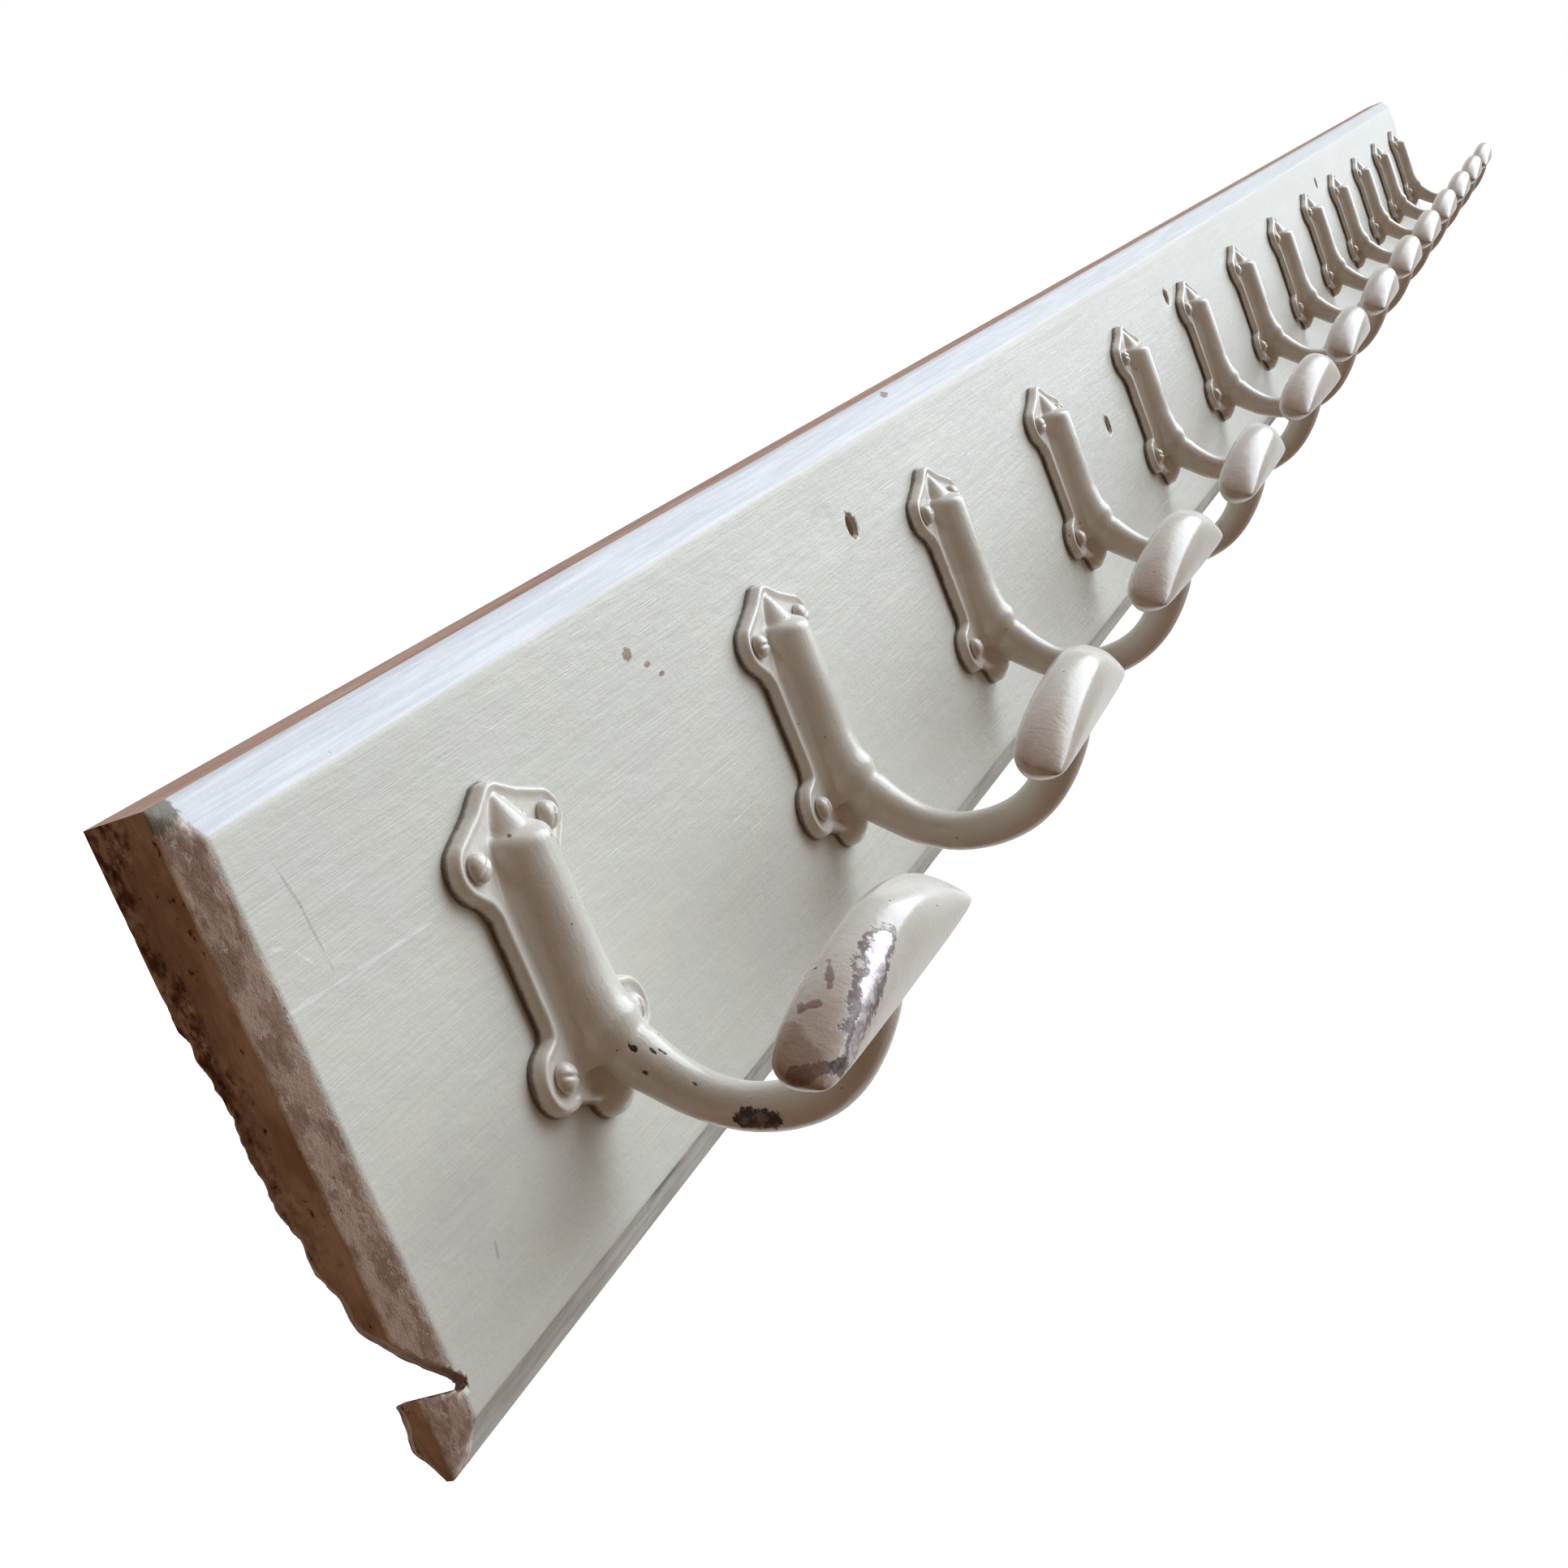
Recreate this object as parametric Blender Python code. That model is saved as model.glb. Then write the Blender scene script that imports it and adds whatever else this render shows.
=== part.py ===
"""Painted plank coat rack with a row of cast-iron half-moon hooks.

Metres, +Z up.  The origin is the middle of the board's back face: X runs along
the board, the room is on the -Y side and the wall on the +Y side.
"""
import math

import bmesh
import bpy
from mathutils import Matrix, Vector

MM = 0.001
GAP = 0.3 * MM

# Board
HOOK_COUNT = 13
HOOK_PITCH = 190 * MM
END_MARGIN = 98 * MM
BOARD_LENGTH = (HOOK_COUNT - 1) * HOOK_PITCH + 2 * END_MARGIN
BOARD_HEIGHT = 166 * MM
BOARD_THICKNESS = 25 * MM
CHAMFER_DEPTH = 7 * MM
CHAMFER_WIDTH_LONG = 10.5 * MM
CHAMFER_WIDTH_END = 7 * MM
FACE_Y = -BOARD_THICKNESS

# The hooks were set out by hand: each one's distance from its even place.
HOOK_WANDER = [d * MM for d in (5, 5, -1, -7, -5, -6, -4, -2, 0, 0, 2, 3, 0)]

# Old wall-fixing holes: distance from the first hook, and height.
FIXING_HOLES = [(296 * MM, 44.5 * MM), (676 * MM, 5.5 * MM), (902 * MM, 44.5 * MM), (1625 * MM, 48 * MM)]
FIXING_HOLE_RADIUS = 3.8 * MM

# Broken notch through the left end, near the bottom
NOTCH_TOP_BACK = -41 * MM
NOTCH_BOTTOM_BACK = -58.5 * MM
NOTCH_TIP_Z = -57 * MM
NOTCH_REACH = 34 * MM

# Hook back plate
PLATE_THICKNESS = 5.0 * MM
APEX_Z = 48.5 * MM
WAIST_HALF = 18.2 * MM
UPPER_SCREW = Vector((18.5 * MM, 31.0 * MM))
LOWER_SCREW = Vector((20.2 * MM, -26.8 * MM))
UPPER_LOBE_RADIUS = 8.6 * MM
LOWER_LOBE_RADIUS = 9.8 * MM
FOOT_RADIUS = 9.5 * MM
FOOT_Z = -38.0 * MM
FOOT_BULGE = 5.6 * MM

# Hook rib and arm: distance out from the board's face, height, radius
ARM_PATH = [
    (2.8 * MM, 44.0 * MM, 0.6 * MM),
    (4.5 * MM, 37.0 * MM, 6.2 * MM),
    (4.6 * MM, 31.5 * MM, 9.8 * MM),
    (4.2 * MM, 27.0 * MM, 11.3 * MM),
    (4.2 * MM, 8.0 * MM, 11.0 * MM),
    (4.6 * MM, -8.0 * MM, 10.8 * MM),
    (7.0 * MM, -20.0 * MM, 9.8 * MM),
    (12.0 * MM, -30.0 * MM, 8.8 * MM),
    (19.0 * MM, -38.5 * MM, 7.4 * MM),
    (27.5 * MM, -46.6 * MM, 6.8 * MM),
    (38.0 * MM, -51.8 * MM, 6.7 * MM),
    (50.0 * MM, -53.2 * MM, 6.7 * MM),
    (61.5 * MM, -51.2 * MM, 6.7 * MM),
    (71.0 * MM, -46.0 * MM, 6.7 * MM),
    (79.0 * MM, -38.0 * MM, 7.2 * MM),
    (84.5 * MM, -29.0 * MM, 8.0 * MM),
    (87.0 * MM, -23.0 * MM, 7.4 * MM),
]
ARM_SIDES = 8

# Half-moon tip: a wide block along X, arched from end to end and leaning out from the wall
TIP_CENTRE_OUT = 87.4 * MM
TIP_RIM_Z = -22.7 * MM
TIP_LEAN = 32.5
TIP_HALF_WIDTH = 53 * MM
TIP_HALF_DEPTH = 10.2 * MM
TIP_CROWN = 20.7 * MM
TIP_KEEL = 11.8 * MM
TIP_STATIONS = 14

# How old loads have bent some arms: hook index to sideways, outward and upward shift, and turn in degrees
ARM_BENDS = {
    0: (-1.0 * MM, -1.5 * MM, -1.5 * MM, -1.7),
    1: (-1.0 * MM, 1.2 * MM, 0.4 * MM, 1.7),
    2: (1.0 * MM, -0.7 * MM, 1.5 * MM, -2.3),
    4: (1.0 * MM, 1.5 * MM, 0.6 * MM, -2.9),
}
BEND_START_OUT = 24 * MM
BEND_END_OUT = 76 * MM

# Round-head wood screws
HEAD_RADIUS = 4.2 * MM
HEAD_HEIGHT = 3.0 * MM
SHANK_RADIUS = 1.9 * MM
SHANK_LENGTH = 19 * MM
PLATE_HOLE_RADIUS = 2.5 * MM
PILOT_RADIUS = 2.5 * MM
PILOT_DEPTH = 18.5 * MM
SCREW_SIDES = 8
PILOT_SIDES = 6
SCREWED_HOOKS = 11


def collection(name):
    """A new collection in the scene."""
    made = bpy.data.collections.new(name)
    bpy.context.scene.collection.children.link(made)
    return made


def material(name, colour, roughness, metallic=0.0):
    """A Principled material."""
    made = bpy.data.materials.new(name)
    made.use_nodes = True
    shader = made.node_tree.nodes["Principled BSDF"]
    shader.inputs["Base Color"].default_value = (*colour, 1.0)
    shader.inputs["Roughness"].default_value = roughness
    shader.inputs["Metallic"].default_value = metallic
    return made


def link_mesh(name, mesh, where, paint=None):
    """An object for a mesh, in a collection, with its material."""
    thing = bpy.data.objects.new(name, mesh)
    where.objects.link(thing)
    if paint:
        mesh.materials.append(paint)
    return thing


def from_bmesh(name, shape, where, paint=None):
    """An object from a bmesh, with its normals facing out."""
    bmesh.ops.remove_doubles(shape, verts=shape.verts, dist=0.00001)
    bmesh.ops.recalc_face_normals(shape, faces=shape.faces)
    mesh = bpy.data.meshes.new(name)
    shape.to_mesh(mesh)
    shape.free()
    return link_mesh(name, mesh, where, paint)


def make_cutter(thing):
    """Marks an object as a cutter: never rendered, drawn as wire."""
    thing.hide_render = True
    thing.display_type = "WIRE"
    return thing


def boolean(target, other, operation):
    """An exact Boolean of one object with another."""
    step = target.modifiers.new(other.name, "BOOLEAN")
    step.operation = operation
    step.solver = "EXACT"
    step.object = other


def apply_modifiers(thing):
    """Bakes the modifiers into the object's mesh."""
    graph = bpy.context.evaluated_depsgraph_get()
    baked = bpy.data.meshes.new_from_object(thing.evaluated_get(graph), depsgraph=graph)
    thing.modifiers.clear()
    thing.data = baked


def curve_to_mesh(name, curve):
    """A welded mesh from a curve datablock, with the curve removed."""
    source = bpy.data.objects.new(name, curve)
    bpy.context.scene.collection.objects.link(source)
    graph = bpy.context.evaluated_depsgraph_get()
    mesh = bpy.data.meshes.new_from_object(source.evaluated_get(graph), depsgraph=graph)
    bpy.data.objects.remove(source)
    bpy.data.curves.remove(curve)
    shape = bmesh.new()
    shape.from_mesh(mesh)
    bpy.data.meshes.remove(mesh)
    return shape


def peg_row(name, spots, radius, sides, front, back, where):
    """One cutter made of round pegs along Y at (x, z) spots."""
    shape = bmesh.new()
    for x, z in spots:
        place = Matrix.Translation((x, (front + back) / 2, z)) @ Matrix.Rotation(math.pi / 2, 4, "X")
        bmesh.ops.create_cone(shape, cap_ends=True, segments=sides, radius1=radius, radius2=radius,
                              depth=back - front, matrix=place)
    return make_cutter(from_bmesh(name, shape, where))


def arc(centre, radius, start, end, count):
    """Points on a circle from one angle to another, in degrees."""
    points = []
    for i in range(count):
        angle = math.radians(start + (end - start) * i / (count - 1))
        points.append((centre[0] + radius * math.cos(angle), centre[1] + radius * math.sin(angle)))
    return points


def plate_outline():
    """The back plate's outline in X and Z, all the way round."""
    right = [(0.0, APEX_Z), (4.0 * MM, APEX_Z - 1.4 * MM)]
    right += arc(UPPER_SCREW, UPPER_LOBE_RADIUS, 74, -58, 6)
    right += [(WAIST_HALF, 18 * MM), (WAIST_HALF, -14 * MM)]
    right += arc(LOWER_SCREW, LOWER_LOBE_RADIUS, 84, -105, 6)
    right += arc((0.0, FOOT_Z), FOOT_RADIUS, -18, -90, 4)
    left = [(-x, z) for x, z in reversed(right[1:-1])]
    return right + left


def hook_positions():
    """Each hook's X."""
    first = -(HOOK_COUNT - 1) / 2 * HOOK_PITCH
    return [first + i * HOOK_PITCH + HOOK_WANDER[i] for i in range(HOOK_COUNT)]


def screw_spots():
    """The four screw places on one plate."""
    spots = {}
    for row, spot in (("upper", UPPER_SCREW), ("lower", LOWER_SCREW)):
        spots[row + "_left"] = (-spot.x, spot.y)
        spots[row + "_right"] = (spot.x, spot.y)
    return spots


def make_board(parts, cutters, paint):
    """The plank: chamfered front, pilot and fixing holes, broken notch."""
    half_length = BOARD_LENGTH / 2
    half_height = BOARD_HEIGHT / 2
    shoulder = FACE_Y + CHAMFER_DEPTH
    rings = [
        (half_length, half_height, 0.0),
        (half_length, half_height, shoulder),
        (half_length - CHAMFER_WIDTH_END, half_height - CHAMFER_WIDTH_LONG, FACE_Y),
    ]
    shape = bmesh.new()
    corners = []
    for x, z, y in rings:
        corners.append([shape.verts.new(p) for p in ((-x, y, -z), (x, y, -z), (x, y, z), (-x, y, z))])
    shape.faces.new(corners[0])
    shape.faces.new(corners[-1])
    for lower, upper in zip(corners, corners[1:]):
        for i in range(4):
            j = (i + 1) % 4
            shape.faces.new((lower[i], lower[j], upper[j], upper[i]))
    board = from_bmesh("board", shape, parts, paint)

    pilots = [(x + sx, sz) for x in hook_positions() for sx, sz in screw_spots().values()]
    pegs = peg_row("cut_pilots", pilots, PILOT_RADIUS, PILOT_SIDES, FACE_Y - GAP, FACE_Y + PILOT_DEPTH, cutters)
    boolean(board, pegs, "DIFFERENCE")
    first = -(HOOK_COUNT - 1) / 2 * HOOK_PITCH
    fixings = [(first + x, z) for x, z in FIXING_HOLES]
    through = peg_row("cut_fixings", fixings, FIXING_HOLE_RADIUS, 12, FACE_Y - GAP, GAP, cutters)
    boolean(board, through, "DIFFERENCE")
    boolean(board, make_notch(cutters), "DIFFERENCE")
    apply_modifiers(board)
    return board


def make_notch(cutters):
    """A wedge that widens toward the back of the board's left end."""
    end = -BOARD_LENGTH / 2
    beyond = 2 * MM
    tip_x = end + CHAMFER_WIDTH_END
    shape = bmesh.new()
    tip = shape.verts.new((tip_x, FACE_Y - GAP, NOTCH_TIP_Z))
    back = []
    for x in (end - beyond, end + NOTCH_REACH):
        for z in (NOTCH_BOTTOM_BACK, NOTCH_TOP_BACK):
            back.append(shape.verts.new((x, beyond, z)))
    front = [shape.verts.new((end - beyond, FACE_Y - GAP, NOTCH_TIP_Z + dz)) for dz in (-GAP, GAP)]
    bmesh.ops.convex_hull(shape, input=[tip] + back + front)
    return make_cutter(from_bmesh("cut_notch", shape, cutters))


def make_plate(name, where, paint):
    """The back plate: a flat casting cut to its outline."""
    curve = bpy.data.curves.new(name, "CURVE")
    curve.dimensions = "2D"
    curve.fill_mode = "BOTH"
    curve.extrude = PLATE_THICKNESS / 2
    curve.resolution_u = 1
    outline = plate_outline()
    spline = curve.splines.new("POLY")
    spline.points.add(len(outline) - 1)
    for point, (x, z) in zip(spline.points, outline):
        point.co = (x, z, 0.0, 1.0)
    spline.use_cyclic_u = True
    shape = curve_to_mesh(name, curve)
    shape.transform(Matrix.Rotation(math.pi / 2, 4, "X"))
    bmesh.ops.remove_doubles(shape, verts=shape.verts, dist=0.00001)
    middle = sum((v.co.y for v in shape.verts)) / len(shape.verts)
    for vert in shape.verts:
        vert.co.y = -GAP if vert.co.y > middle else -PLATE_THICKNESS
    return from_bmesh(name, shape, where, paint)


def make_arm(name, where):
    """The rib and the J-shaped arm: one tapering round sweep."""
    curve = bpy.data.curves.new(name, "CURVE")
    curve.dimensions = "3D"
    curve.bevel_depth = 1.0
    curve.bevel_resolution = ARM_SIDES // 2 - 2
    curve.use_fill_caps = True
    curve.resolution_u = 1
    spline = curve.splines.new("POLY")
    spline.points.add(len(ARM_PATH) - 1)
    for point, (out, z, radius) in zip(spline.points, ARM_PATH):
        point.co = (0.0, -out, z, 1.0)
        point.radius = radius
    shape = curve_to_mesh(name, curve)
    arm = from_bmesh(name, shape, where)
    behind = bmesh.new()
    bmesh.ops.create_cube(behind, size=1.0)
    size = 120 * MM
    behind.transform(Matrix.Translation((0, size / 2 - 1.2 * MM, 0)) @ Matrix.Scale(size, 4))
    flat = make_cutter(from_bmesh(name + "_back", behind, where))
    boolean(arm, flat, "DIFFERENCE")
    return arm


def flattened_ball(half_x, half_y, top, bottom, segments, rings):
    """A sphere stretched along each axis, with unlike heights above and below."""
    shape = bmesh.new()
    bmesh.ops.create_uvsphere(shape, u_segments=segments, v_segments=rings, radius=1.0)
    for vert in shape.verts:
        x, y, z = vert.co
        vert.co = Vector((x * half_x, y * half_y, z * (top if z > 0 else bottom)))
    return shape


def tip_section(share):
    """The tip's cross-section at a share of its half width: (depth, height) points all the way round."""
    front = TIP_HALF_DEPTH * (1 - abs(share) ** 12) ** (1 / 12)
    back = TIP_HALF_DEPTH * (1 - abs(share) ** 2.8) ** (1 / 2.8)
    crown = TIP_CROWN * (1 - abs(share) ** 1.5) ** 0.79
    keel = TIP_KEEL * math.sqrt(1 - abs(share) ** 3)
    points = []
    for degrees in (180, 160, 135, 112, 90, 68, 45, 20, 0):
        along, up = math.cos(math.radians(degrees)), math.sin(math.radians(degrees))
        reach = front if along < 0 else back
        points.append((math.copysign(reach * abs(along) ** 0.77, along), crown * up ** 0.77))
    points += [(back * 0.62, -keel * 0.55), (0.0, -keel), (-front * 0.62, -keel * 0.55)]
    return points


def make_tip(name, where):
    """The half-moon tip, lofted through its cross-sections between two end points."""
    shape = bmesh.new()
    loops = []
    for i in range(1, TIP_STATIONS):
        share = -math.cos(math.pi * i / TIP_STATIONS)
        loops.append([shape.verts.new((share * TIP_HALF_WIDTH, y, z)) for y, z in tip_section(share)])
    ends = [shape.verts.new((side * TIP_HALF_WIDTH, 0.0, 0.0)) for side in (-1, 1)]
    count = len(loops[0])
    for i in range(count):
        j = (i + 1) % count
        shape.faces.new((ends[0], loops[0][j], loops[0][i]))
        shape.faces.new((ends[1], loops[-1][i], loops[-1][j]))
        for near, far in zip(loops, loops[1:]):
            shape.faces.new((near[i], near[j], far[j], far[i]))
    lean = Matrix.Rotation(math.radians(TIP_LEAN), 4, "X")
    shape.transform(Matrix.Translation((0, -TIP_CENTRE_OUT, TIP_RIM_Z)) @ lean)
    return make_cutter(from_bmesh(name, shape, where))


def make_foot(name, where):
    """The round raised boss on the plate's lower end."""
    spread = FOOT_RADIUS - 1.2 * MM
    shape = flattened_ball(spread, FOOT_BULGE / 2, FOOT_RADIUS + 2 * MM, spread, 8, 5)
    shape.transform(Matrix.Translation((0, -PLATE_THICKNESS, FOOT_Z)))
    return make_cutter(from_bmesh(name, shape, where))


def make_hook_mesh(parts, cutters, paint):
    """One casting at the origin of its own plate: plate, rib, arm, tip and foot in one body."""
    hook = make_plate("hook_casting", parts, paint)
    arm = make_cutter(make_arm("add_arm", cutters))
    for piece in (make_foot("add_foot", cutters), arm, make_tip("add_tip", cutters)):
        boolean(hook, piece, "UNION")
    holes = peg_row("cut_plate_holes", screw_spots().values(), PLATE_HOLE_RADIUS, PILOT_SIDES,
                    -PLATE_THICKNESS - MM, MM, cutters)
    boolean(hook, holes, "DIFFERENCE")
    apply_modifiers(hook)
    mesh = hook.data
    bpy.data.objects.remove(hook)
    mesh.polygons.foreach_set("use_smooth", [True] * len(mesh.polygons))
    return mesh


def bent(casting, bend):
    """A copy of the casting whose arm eases into a shift and a turn of the tip."""
    sideways, outward, upward, turn = bend
    copy = casting.copy()
    pivot = Vector((0.0, -TIP_CENTRE_OUT, 0.0))
    for vert in copy.vertices:
        share = min(1.0, max(0.0, (-vert.co.y - BEND_START_OUT) / (BEND_END_OUT - BEND_START_OUT)))
        share = share * share * (3 - 2 * share)
        twist = Matrix.Rotation(math.radians(turn) * share, 3, "Z")
        vert.co = pivot + twist @ (vert.co - pivot) + share * Vector((sideways, -outward, upward))
    return copy


def screw_mesh(paint):
    """A round-head screw along +Y, the underside of its head at the origin."""
    profile = [
        (0.0, -HEAD_HEIGHT),
        (HEAD_RADIUS * 0.62, -HEAD_HEIGHT * 0.8),
        (HEAD_RADIUS, 0.0),
        (SHANK_RADIUS, 0.0),
        (SHANK_RADIUS, SHANK_LENGTH - 5 * MM),
        (0.0, SHANK_LENGTH),
    ]
    shape = bmesh.new()
    verts = [shape.verts.new((radius, y, 0.0)) for radius, y in profile]
    edges = [shape.edges.new(pair) for pair in zip(verts, verts[1:])]
    bmesh.ops.spin(shape, geom=verts + edges, cent=(0, 0, 0), axis=(0, 1, 0), angle=2 * math.pi,
                   steps=SCREW_SIDES, use_duplicate=False)
    bmesh.ops.remove_doubles(shape, verts=shape.verts, dist=0.00001)
    bmesh.ops.recalc_face_normals(shape, faces=shape.faces)
    mesh = bpy.data.meshes.new("screw")
    shape.to_mesh(mesh)
    shape.free()
    mesh.materials.append(paint)
    mesh.polygons.foreach_set("use_smooth", [True] * len(mesh.polygons))
    return mesh


def build():
    """The whole rack."""
    for thing in list(bpy.data.objects):
        bpy.data.objects.remove(thing, do_unlink=True)
    parts = collection("wall_hook_rack")
    cutters = collection("cutters")
    board_paint = material("board_paint", (0.60, 0.60, 0.56), 0.42)
    hook_paint = material("hook_paint", (0.58, 0.55, 0.49), 0.3)
    screw_paint = material("screw_paint", (0.55, 0.52, 0.46), 0.32)

    make_board(parts, cutters, board_paint)
    casting = make_hook_mesh(parts, cutters, hook_paint)
    screw = screw_mesh(screw_paint)
    head_seat = FACE_Y - PLATE_THICKNESS - GAP
    for i, x in enumerate(hook_positions()):
        mesh = bent(casting, ARM_BENDS[i]) if i in ARM_BENDS else casting
        hook = bpy.data.objects.new(f"hook_{i + 1:02d}", mesh)
        hook.location = (x, FACE_Y, 0.0)
        parts.objects.link(hook)
        if i >= SCREWED_HOOKS:
            continue
        for place, (sx, sz) in screw_spots().items():
            piece = bpy.data.objects.new(f"screw_{i + 1:02d}_{place}", screw)
            piece.location = (x + sx, head_seat, sz)
            parts.objects.link(piece)


build()
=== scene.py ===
"""Looks of the painted wall hook rack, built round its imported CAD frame.

Millimetres are written as MM multiples.  "Out" is the distance from the board's
painted face into the room (world -Y); x and z are world X and Z.
"""
import math
import random

import bmesh
import bpy
import numpy as np
from mathutils import Matrix, Vector, noise


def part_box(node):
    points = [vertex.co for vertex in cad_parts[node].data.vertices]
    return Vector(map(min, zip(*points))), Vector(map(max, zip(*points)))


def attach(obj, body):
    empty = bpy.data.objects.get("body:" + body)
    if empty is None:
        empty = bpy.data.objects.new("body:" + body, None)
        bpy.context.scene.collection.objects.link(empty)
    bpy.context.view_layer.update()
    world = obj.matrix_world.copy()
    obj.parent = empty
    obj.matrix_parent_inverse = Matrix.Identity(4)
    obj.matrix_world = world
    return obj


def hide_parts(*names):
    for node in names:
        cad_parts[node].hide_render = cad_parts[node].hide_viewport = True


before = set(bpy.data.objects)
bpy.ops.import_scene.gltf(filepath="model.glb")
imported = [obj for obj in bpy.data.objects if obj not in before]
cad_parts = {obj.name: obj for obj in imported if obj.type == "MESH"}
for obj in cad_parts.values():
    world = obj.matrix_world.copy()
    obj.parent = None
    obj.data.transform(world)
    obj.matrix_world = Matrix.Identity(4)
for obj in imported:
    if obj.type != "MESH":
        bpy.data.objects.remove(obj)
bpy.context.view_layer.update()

MM = 0.001

# ---------------------------------------------------------------- the frame's places
BOARD_LOW, BOARD_HIGH = (Vector(corner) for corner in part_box("board"))
LEFT_END, RIGHT_END = BOARD_LOW.x, BOARD_HIGH.x
BACK_Y, FACE_Y = BOARD_HIGH.y, BOARD_LOW.y
HALF_HEIGHT = BOARD_HIGH.z

HOOK_NAMES = sorted(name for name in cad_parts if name.startswith("hook_"))


def middle(node):
    """The middle of a CAD node's box."""
    low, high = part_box(node)
    return (Vector(low) + Vector(high)) / 2


SCREW_PLACES = ("upper_left", "upper_right", "lower_left", "lower_right")


def plate_x(hook_name):
    """Where a hook's plate is centred: between its screws, or mid-box where it has no screw nodes."""
    screws = [hook_name.replace("hook", "screw") + "_" + place for place in SCREW_PLACES]
    if screws[0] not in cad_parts:
        return middle(hook_name).x
    return sum(middle(screw).x for screw in screws) / len(screws)


HOOK_X = [plate_x(name) for name in HOOK_NAMES]
SCREW_OFFSETS = {
    place: (middle("screw_01_" + place).x - HOOK_X[0], middle("screw_01_" + place).z)
    for place in SCREW_PLACES
}
UPPER_SCREW_X, UPPER_SCREW_Z = SCREW_OFFSETS["upper_right"]
LOWER_SCREW_X, LOWER_SCREW_Z = SCREW_OFFSETS["lower_right"]
HEAD_SEAT_OUT = 4.9 * MM

# The board's chamfers, as in the CAD
CHAMFER_DEPTH = 7 * MM
CHAMFER_WIDTH_LONG = 10.5 * MM
CHAMFER_WIDTH_END = 7 * MM
ARRIS_Z = HALF_HEIGHT - CHAMFER_WIDTH_LONG

# The near end's break: (z, depth behind the face) of its sound wood in millimetres, negative where the notch
# cuts through the face; the depth gained and the height lost for each metre in from the end
BREAK_KNOTS = [(-90, 9), (-83, 9.5), (-76, 12.5), (-62.5, 12), (-61.6, 8), (-61, -9), (-58, -11), (-55.5, -8),
               (-51, 1), (-47, 7.5), (-43.5, 12), (-41, 13), (-24, 18), (-5, 21), (14, 21.5), (30, 23),
               (42, 25.5), (60, 24.5), (78, 26.5), (90, 27)]
BREAK_SLOPE = 1.12
NOTCH_FALL = 0.62

# Places along the board, from the first hook's even place
FIRST_HOOK = LEFT_END + 98 * MM
FIXING_HOLES = [(296 * MM, 44.5 * MM), (676 * MM, 5.5 * MM), (902 * MM, 44.5 * MM), (1625 * MM, 48 * MM)]
FIXING_HOLE_RADIUS = 3.8 * MM
FILLER_PATCH = Vector((FIRST_HOOK + 272 * MM, 0, 48.5 * MM))
FILLER_RADIUS = 8.5 * MM

# The camera: where it stands from the first hook's even place, and how it is turned
CAMERA_PLACE = Vector((FIRST_HOOK - 412 * MM, FACE_Y - 298 * MM, 128 * MM))
CAMERA_YAW, CAMERA_PITCH, CAMERA_ROLL = 30.23, -10.10, -22.53
CAMERA_LENS, CAMERA_SENSOR = 46.6, 36.0
CAMERA_SHIFT = (0.0784, -0.0202)


# ---------------------------------------------------------------- mesh helpers
def add_object(name, mesh, *materials):
    """Links a mesh as a piece and gives it its materials."""
    piece = bpy.data.objects.new(name, mesh)
    bpy.context.scene.collection.objects.link(piece)
    for paint in materials:
        mesh.materials.append(paint)
    return piece


def mesh_from(name, verts, faces):
    """A mesh from points and faces, its normals facing out."""
    mesh = bpy.data.meshes.new(name)
    mesh.from_pydata([tuple(v) for v in verts], [], faces)
    shape = bmesh.new()
    shape.from_mesh(mesh)
    bmesh.ops.recalc_face_normals(shape, faces=shape.faces)
    shape.to_mesh(mesh)
    shape.free()
    return mesh


def baked(piece):
    """The piece's mesh with its modifiers applied; the piece itself is removed."""
    graph = bpy.context.evaluated_depsgraph_get()
    mesh = bpy.data.meshes.new_from_object(piece.evaluated_get(graph), depsgraph=graph)
    old = piece.data
    bpy.data.objects.remove(piece)
    bpy.data.meshes.remove(old)
    return mesh


def smooth(mesh):
    """Shades a whole mesh smooth."""
    mesh.polygons.foreach_set("use_smooth", [True] * len(mesh.polygons))


def grid_faces(rows, columns, wrap=False, start=0):
    """Quads of a grid of points stored row by row."""
    faces = []
    for i in range(rows - 1):
        for j in range(columns if wrap else columns - 1):
            k = (j + 1) % columns
            faces.append((start + i * columns + j, start + i * columns + k,
                          start + (i + 1) * columns + k, start + (i + 1) * columns + j))
    return faces


def tube_faces(rings, sides):
    """Faces of a tube of rings of points, closed by a flat face at each end."""
    faces = grid_faces(rings, sides, wrap=True)
    faces.append(tuple(range(sides)))
    faces.append(tuple(range((rings - 1) * sides, rings * sides)))
    return faces


def slab_faces(rows, columns):
    """Faces of a closed slab: a grid of points, a second grid stored after it, and the rim between them."""
    total = rows * columns
    faces = grid_faces(rows, columns) + grid_faces(rows, columns, start=total)
    rim = list(range(columns))
    rim += [i * columns + columns - 1 for i in range(1, rows)]
    rim += [total - 1 - j for j in range(1, columns)]
    rim += [i * columns for i in range(rows - 2, 0, -1)]
    for a, b in zip(rim, rim[1:] + rim[:1]):
        faces.append((a, b, b + total, a + total))
    return faces


def arc(centre, radius, start, end, count):
    """Points on a circle from one angle to another, in degrees."""
    points = []
    for i in range(count):
        angle = math.radians(start + (end - start) * i / (count - 1))
        points.append((centre[0] + radius * math.cos(angle), centre[1] + radius * math.sin(angle)))
    return points


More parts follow.
